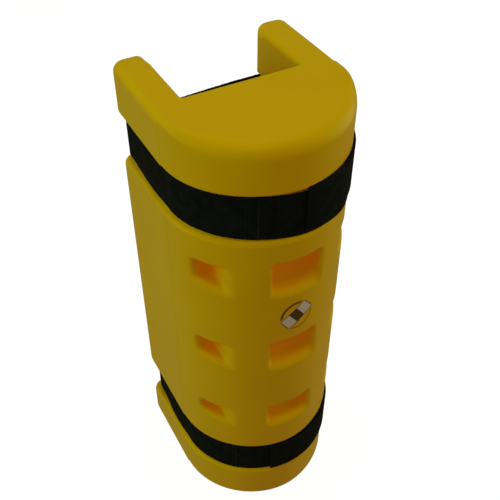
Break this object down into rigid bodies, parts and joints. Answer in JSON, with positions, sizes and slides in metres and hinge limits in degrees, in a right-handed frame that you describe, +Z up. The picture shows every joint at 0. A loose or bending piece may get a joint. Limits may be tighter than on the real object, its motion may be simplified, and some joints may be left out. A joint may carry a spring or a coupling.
{
  "type": "rack upright protector",
  "caption": "Moulded plastic guard with a rounded nose and two wings that wraps a pallet-rack upright, held on by hook-and-loop straps in grooves.",
  "frame": {"origin": "middle of the footprint, on the floor", "axes": "+Z up, the rounded nose points along -Y, the open channel for the upright faces +Y, +X to the right seen from the nose"},
  "size_m": [0.176, 0.189, 0.5],
  "materials": {
    "polyethylene": "satin safety-yellow polyethylene, as moulded",
    "webbing": "black woven loop-faced strap webbing",
    "hook": "black nylon hook tape",
    "label": "plain off-white film label"
  },
  "bodies": {
    "root": {"body_shell": "polyethylene", "vent_plug": "polyethylene", "label": "label", "lower_strap_band": "webbing", "upper_strap_band": "webbing"},
    "lower_span": {"lower_strap_rear_span": "webbing"},
    "lower_tab": {"lower_strap_tab": "webbing", "lower_strap_hook_patch": "hook"},
    "lower_tail": {"lower_strap_tail": "webbing"},
    "upper_span": {"upper_strap_rear_span": "webbing"},
    "upper_tab": {"upper_strap_tab": "webbing", "upper_strap_hook_patch": "hook"},
    "upper_tail": {"upper_strap_tail": "webbing"}
  },
  "joints": [
    {"name": "lower_span_fold", "type": "hinge", "parent": "root", "child": "lower_span", "pos_m": [-0.075, 0.0912, 0.0755], "axis": [0, 0, 1], "range_deg": [0, 85]},
    {"name": "lower_tab_peel", "type": "hinge", "parent": "lower_span", "child": "lower_tab", "pos_m": [0.075, 0.0943, 0.0755], "axis": [0, 0, 1], "range_deg": [0, 140]},
    {"name": "lower_tail_fold", "type": "hinge", "parent": "root", "child": "lower_tail", "pos_m": [0.075, 0.0912, 0.0755], "axis": [0, 0, 1], "range_deg": [-72, 0]},
    {"name": "upper_span_fold", "type": "hinge", "parent": "root", "child": "upper_span", "pos_m": [-0.075, 0.0912, 0.429], "axis": [0, 0, 1], "range_deg": [0, 85]},
    {"name": "upper_tab_peel", "type": "hinge", "parent": "upper_span", "child": "upper_tab", "pos_m": [0.075, 0.0943, 0.429], "axis": [0, 0, 1], "range_deg": [0, 140]},
    {"name": "upper_tail_fold", "type": "hinge", "parent": "root", "child": "upper_tail", "pos_m": [0.075, 0.0912, 0.429], "axis": [0, 0, 1], "range_deg": [-72, 0]}
  ],
  "couplings": [
    {"joint": "lower_span_fold", "follows": "lower_tab_peel", "ratio": 0.6},
    {"joint": "lower_tail_fold", "follows": "lower_tab_peel", "ratio": -0.5},
    {"joint": "upper_span_fold", "follows": "upper_tab_peel", "ratio": 0.6},
    {"joint": "upper_tail_fold", "follows": "upper_tab_peel", "ratio": -0.5}
  ]
}
